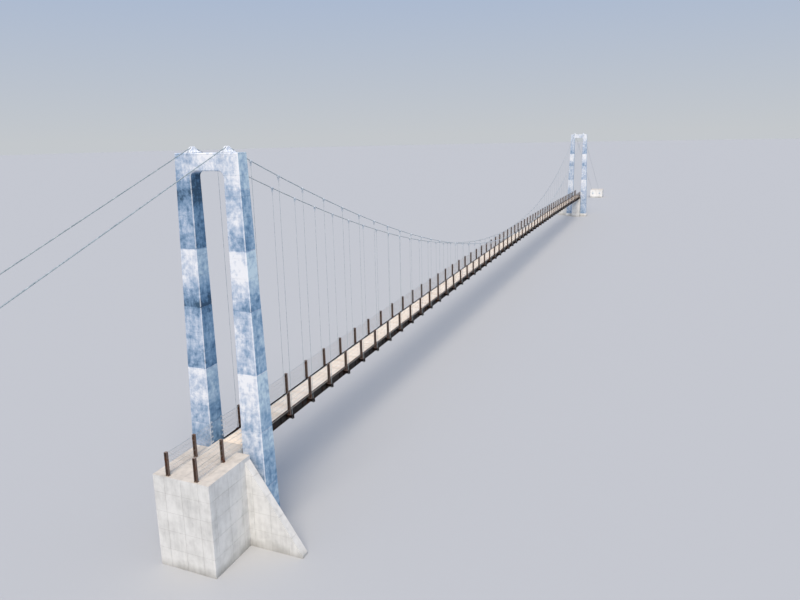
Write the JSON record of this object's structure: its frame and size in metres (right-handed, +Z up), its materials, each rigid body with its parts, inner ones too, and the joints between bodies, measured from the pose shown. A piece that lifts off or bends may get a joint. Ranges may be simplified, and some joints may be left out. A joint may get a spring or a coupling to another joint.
{
  "type": "suspension footbridge, 1:10 scale model",
  "caption": "Long narrow footbridge hung from main cables over tapered concrete portal towers, with a boarded deck, rope railings, concrete abutments and anchor blocks.",
  "frame": {"origin": "on the floor under the middle of the span, midway between the two cable planes", "axes": "+X along the span from the near bank to the far bank, +Y to the left, +Z up"},
  "size_m": [22.1552, 0.8606, 1.831],
  "materials": {
    "tower_concrete": "pale concrete cast in lifts, limewashed, mottled blue-grey by weather",
    "cable_steel": "galvanised wire rope, dull",
    "saddle_steel": "painted cast and forged steel, dull",
    "frame_steel": "dark brown paint on rolled steel, matt",
    "rail_steel": "brown paint on steel sections, matt",
    "deck_wood": "bleached pale boards, dry and matt",
    "concrete": "cast concrete, weathered"
  },
  "bodies": {
    "root": {"near_floor_frame": "frame_steel", "near_deck_boards": "deck_wood", "near_railing_left": "rail_steel", "near_railing_right": "rail_steel", "middle_floor_frame": "frame_steel", "middle_deck_boards": "deck_wood", "middle_railing_left": "rail_steel", "middle_railing_right": "rail_steel", "far_floor_frame": "frame_steel", "far_deck_boards": "deck_wood", "far_railing_left": "rail_steel", "far_railing_right": "rail_steel", "main_cable_left": "cable_steel", "main_cable_right": "cable_steel", "near_tower_leg_left": "tower_concrete", "near_tower_plinth_left": "concrete", "near_saddle_left": "saddle_steel", "near_anchor_socket_left": "saddle_steel", "near_landing_rail_left": "rail_steel", "near_tower_leg_right": "tower_concrete", "near_tower_plinth_right": "concrete", "near_saddle_right": "saddle_steel", "near_anchor_socket_right": "saddle_steel", "near_landing_rail_right": "rail_steel", "near_tower_top_beam": "tower_concrete", "near_abutment": "concrete", "near_wing_wall": "concrete", "near_anchor_block": "concrete", "far_tower_leg_left": "tower_concrete", "far_tower_plinth_left": "concrete", "far_saddle_left": "saddle_steel", "far_anchor_socket_left": "saddle_steel", "far_landing_rail_left": "rail_steel", "far_tower_leg_right": "tower_concrete", "far_tower_plinth_right": "concrete", "far_saddle_right": "saddle_steel", "far_anchor_socket_right": "saddle_steel", "far_landing_rail_right": "rail_steel", "far_tower_top_beam": "tower_concrete", "far_abutment": "concrete", "far_wing_wall": "concrete", "far_anchor_block": "concrete"}
  },
  "joints": []
}
